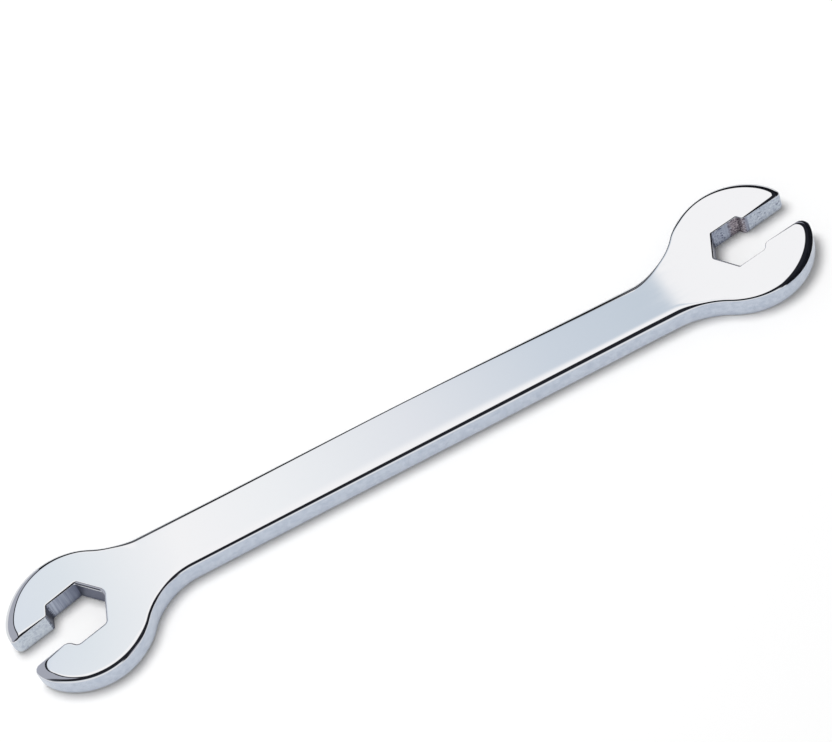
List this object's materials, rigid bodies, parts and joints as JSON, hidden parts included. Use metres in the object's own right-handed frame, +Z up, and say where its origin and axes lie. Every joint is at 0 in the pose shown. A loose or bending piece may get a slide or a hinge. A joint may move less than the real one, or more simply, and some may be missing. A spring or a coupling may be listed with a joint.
{
  "type": "flare nut wrench",
  "caption": "Flat double-ended wrench for brake line nuts, with an open hexagon and tube slot in the angled head at each end of a tapered shank.",
  "frame": {"origin": "on the lower face, on the shank's centre line, midway along the wrench between the two openings", "axes": "+X along the shank towards the small head, +Z up through the thickness, +Y to the side the small head leans to"},
  "size_m": [0.2091, 0.0429, 0.0062],
  "materials": {
    "chrome": "polished chrome plate on forged steel, satin inside the broached openings"
  },
  "bodies": {
    "root": {"large_head": "chrome", "shank": "chrome", "small_head": "chrome"}
  },
  "joints": []
}
